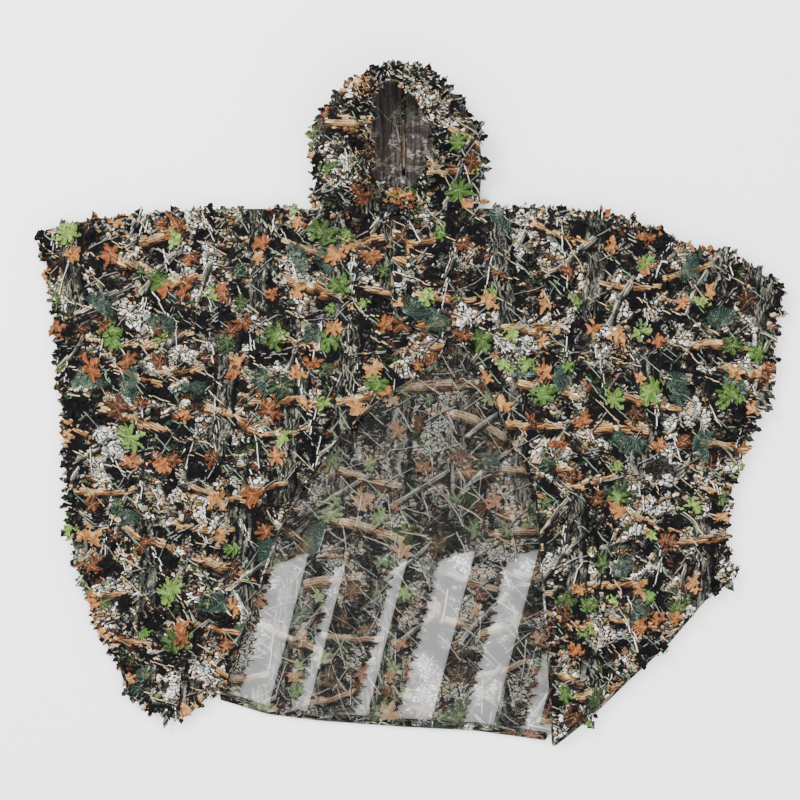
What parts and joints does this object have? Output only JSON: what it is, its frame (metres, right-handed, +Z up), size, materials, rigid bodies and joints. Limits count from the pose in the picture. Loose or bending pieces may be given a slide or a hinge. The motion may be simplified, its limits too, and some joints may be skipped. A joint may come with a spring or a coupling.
{
  "type": "hooded camouflage poncho",
  "caption": "Hooded leaf-cut camouflage poncho lying flat on its back, fronts parted below a press stud, hood and fronts hinged to lift.",
  "frame": {"origin": "centre of the bounding box on the floor that the poncho lies on", "axes": "+Z up out of the front of the garment, +Y towards the hood, +X towards the wearer's left"},
  "size_m": [1.494, 1.38, 0.1115],
  "materials": {
    "camo_mesh": "sheer printed polyester mesh, matte",
    "camo_leaf": "printed leaf-cut polyester, matte",
    "binding": "folded printed tape, stitched",
    "snap_black": "black lacquer, satin",
    "snap_metal": "plated, worn bright on the contact ring"
  },
  "bodies": {
    "back": {"back_hem": "binding", "back_leaf_strip_1": "camo_leaf", "back_leaf_strip_10": "camo_leaf", "back_leaf_strip_11": "camo_leaf", "back_leaf_strip_12": "camo_leaf", "back_leaf_strip_13": "camo_leaf", "back_leaf_strip_14": "camo_leaf", "back_leaf_strip_2": "camo_leaf", "back_leaf_strip_3": "camo_leaf", "back_leaf_strip_4": "camo_leaf", "back_leaf_strip_5": "camo_leaf", "back_leaf_strip_6": "camo_leaf", "back_leaf_strip_7": "camo_leaf", "back_leaf_strip_8": "camo_leaf", "back_leaf_strip_9": "camo_leaf", "back_panel": "camo_mesh", "left_shoulder_fold": "camo_mesh", "neck_seam_tape": "binding", "right_shoulder_fold": "camo_mesh"},
    "left_front": {"left_front_binding": "binding", "left_front_hem": "binding", "left_front_leaf_strip_1": "camo_leaf", "left_front_leaf_strip_2": "camo_leaf", "left_front_leaf_strip_3": "camo_leaf", "left_front_leaf_strip_4": "camo_leaf", "left_front_leaf_strip_5": "camo_leaf", "left_front_panel": "camo_mesh", "left_placket": "binding", "snap_cap": "snap_black", "snap_socket": "snap_metal"},
    "right_front": {"right_front_binding": "binding", "right_front_hem": "binding", "right_front_leaf_strip_1": "camo_leaf", "right_front_leaf_strip_2": "camo_leaf", "right_front_leaf_strip_3": "camo_leaf", "right_front_leaf_strip_4": "camo_leaf", "right_front_leaf_strip_5": "camo_leaf", "right_front_leaf_strip_6": "camo_leaf", "right_front_panel": "camo_mesh", "right_placket": "binding", "snap_post": "snap_metal", "snap_stud": "snap_metal"},
    "hood": {"hood_brim_binding": "binding", "hood_centre_tape": "binding", "hood_left_leaves": "camo_leaf", "hood_left_panel": "camo_mesh", "hood_right_leaves": "camo_leaf", "hood_right_panel": "camo_mesh"}
  },
  "joints": [
    {"name": "left_front_lift", "type": "hinge", "parent": "back", "child": "left_front", "pos_m": [0, 0.385, 0.036], "axis": [-1, 0, 0], "range_deg": [0, 60]},
    {"name": "right_front_lift", "type": "hinge", "parent": "back", "child": "right_front", "pos_m": [0, 0.385, 0.036], "axis": [-1, 0, 0], "range_deg": [0, 54]},
    {"name": "hood_raise", "type": "hinge", "parent": "back", "child": "hood", "pos_m": [0, 0.385, 0.008], "axis": [1, 0, 0], "range_deg": [0, 48]}
  ],
  "couplings": [
    {"joint": "right_front_lift", "follows": "left_front_lift", "ratio": 0.9}
  ]
}
